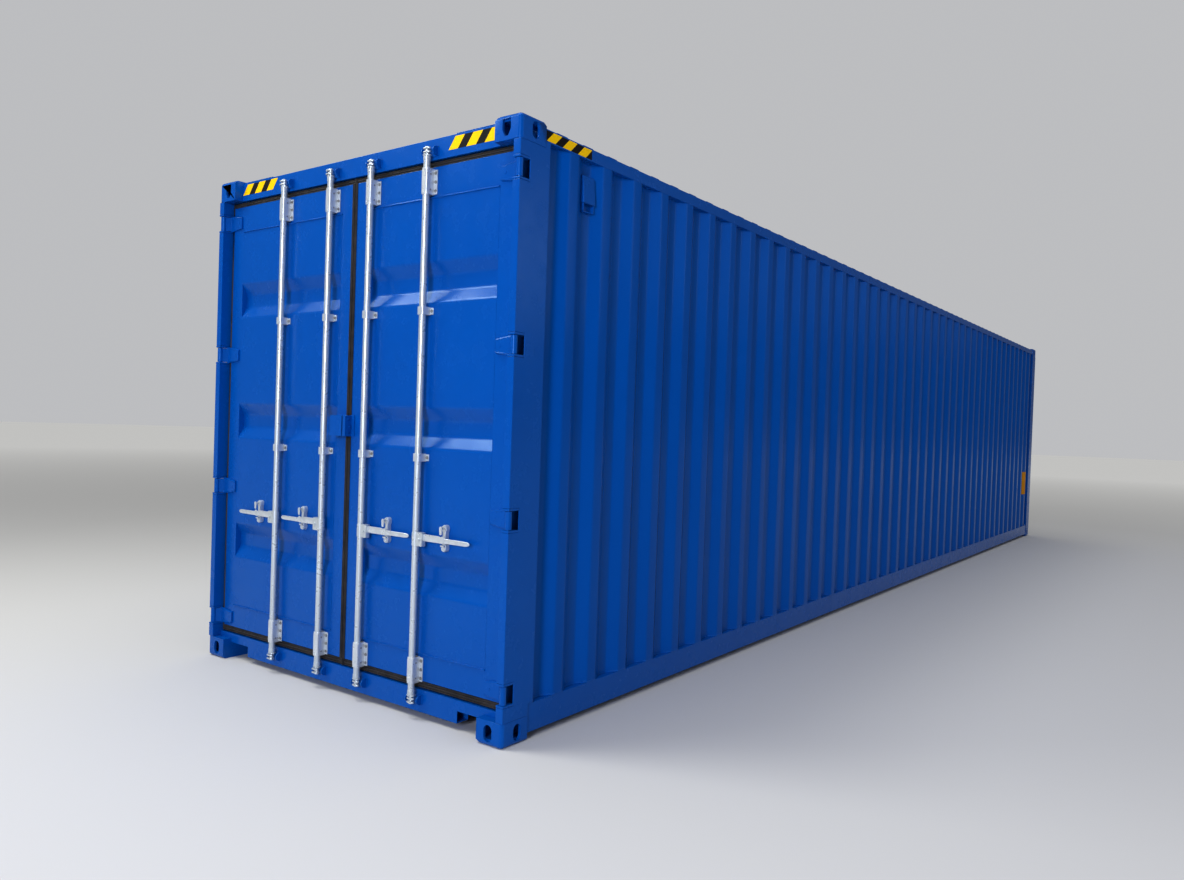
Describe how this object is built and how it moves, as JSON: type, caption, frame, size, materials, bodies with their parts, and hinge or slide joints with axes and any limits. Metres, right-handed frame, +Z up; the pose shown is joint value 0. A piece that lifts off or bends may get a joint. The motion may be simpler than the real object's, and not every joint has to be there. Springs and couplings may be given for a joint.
{
  "type": "shipping container",
  "caption": "Steel freight container, high-cube, with corrugated walls, plywood floor, double doors locked by turning bars, and corner castings for lifting and stacking.",
  "frame": {"origin": "on the ground under the centre of the box", "axes": "+X along the length towards the closed front end, +Y to the left side seen from the doors, +Z up"},
  "size_m": [12.192, 2.438, 2.896],
  "materials": {
    "blue_paint": "semi-gloss",
    "zinc_steel": "hot-dip galvanised",
    "door_rubber": "matte",
    "floor_board": "oiled plywood"
  },
  "bodies": {
    "container": {"castings_bottom": "blue_paint", "castings_top": "blue_paint", "door_posts": "blue_paint", "front_posts": "blue_paint", "bottom_side_rails": "blue_paint", "top_side_rails": "blue_paint", "door_header": "blue_paint", "door_sill": "blue_paint", "front_header": "blue_paint", "front_sill": "blue_paint", "gooseneck_tunnel": "blue_paint", "cross_members": "blue_paint", "floor": "floor_board", "side_wall_left": "blue_paint", "side_wall_right": "blue_paint", "front_wall": "blue_paint", "roof": "blue_paint", "roof_end_plates": "blue_paint", "roof_corner_plates": "blue_paint", "ventilators": "blue_paint", "hinge_lugs": "blue_paint", "cam_keepers": "blue_paint"},
    "leaf_left": {"leaf_frame_left": "blue_paint", "leaf_panel_left": "blue_paint", "leaf_seal_left": "door_rubber", "hinge_blades_left": "blue_paint", "bar_brackets_left": "zinc_steel", "handle_retainers_left": "zinc_steel", "lock_box_left": "blue_paint"},
    "leaf_right": {"leaf_frame_right": "blue_paint", "leaf_panel_right": "blue_paint", "leaf_seal_right": "door_rubber", "hinge_blades_right": "blue_paint", "bar_brackets_right": "zinc_steel", "handle_retainers_right": "zinc_steel", "lock_box_right": "blue_paint"},
    "lock_bar_left_inner": {"bar_left_inner": "zinc_steel", "handle_left_inner": "zinc_steel"},
    "catch_left_inner": {"catch_left_inner": "zinc_steel"},
    "lock_bar_left_outer": {"bar_left_outer": "zinc_steel", "handle_left_outer": "zinc_steel"},
    "catch_left_outer": {"catch_left_outer": "zinc_steel"},
    "lock_bar_right_inner": {"bar_right_inner": "zinc_steel", "handle_right_inner": "zinc_steel"},
    "catch_right_inner": {"catch_right_inner": "zinc_steel"},
    "lock_bar_right_outer": {"bar_right_outer": "zinc_steel", "handle_right_outer": "zinc_steel"},
    "catch_right_outer": {"catch_right_outer": "zinc_steel"}
  },
  "joints": [
    {"name": "door_left_hinge", "type": "hinge", "parent": "container", "child": "leaf_left", "pos_m": [-6.078, 1.201, 1.4475], "axis": [0, 0, -1], "range_deg": [0, 262]},
    {"name": "bar_left_inner_turn", "type": "hinge", "parent": "leaf_left", "child": "lock_bar_left_inner", "pos_m": [-6.076, 0.1675, 0.912], "axis": [0, 0, -1], "range_deg": [-110, 0]},
    {"name": "catch_left_inner_swing", "type": "hinge", "parent": "leaf_left", "child": "catch_left_inner", "pos_m": [-6.086, 0.3525, 0.97], "axis": [1, 0, 0], "range_deg": [-120, 0]},
    {"name": "bar_left_outer_turn", "type": "hinge", "parent": "leaf_left", "child": "lock_bar_left_outer", "pos_m": [-6.076, 0.589, 0.912], "axis": [0, 0, -1], "range_deg": [-110, 0]},
    {"name": "catch_left_outer_swing", "type": "hinge", "parent": "leaf_left", "child": "catch_left_outer", "pos_m": [-6.086, 0.774, 0.97], "axis": [1, 0, 0], "range_deg": [-120, 0]},
    {"name": "door_right_hinge", "type": "hinge", "parent": "container", "child": "leaf_right", "pos_m": [-6.078, -1.201, 1.4475], "axis": [0, 0, 1], "range_deg": [0, 262]},
    {"name": "bar_right_inner_turn", "type": "hinge", "parent": "leaf_right", "child": "lock_bar_right_inner", "pos_m": [-6.076, -0.1675, 0.912], "axis": [0, 0, 1], "range_deg": [-110, 0]},
    {"name": "catch_right_inner_swing", "type": "hinge", "parent": "leaf_right", "child": "catch_right_inner", "pos_m": [-6.086, -0.3525, 0.97], "axis": [-1, 0, 0], "range_deg": [-120, 0]},
    {"name": "bar_right_outer_turn", "type": "hinge", "parent": "leaf_right", "child": "lock_bar_right_outer", "pos_m": [-6.076, -0.589, 0.912], "axis": [0, 0, 1], "range_deg": [-110, 0]},
    {"name": "catch_right_outer_swing", "type": "hinge", "parent": "leaf_right", "child": "catch_right_outer", "pos_m": [-6.086, -0.774, 0.97], "axis": [-1, 0, 0], "range_deg": [-120, 0]}
  ]
}
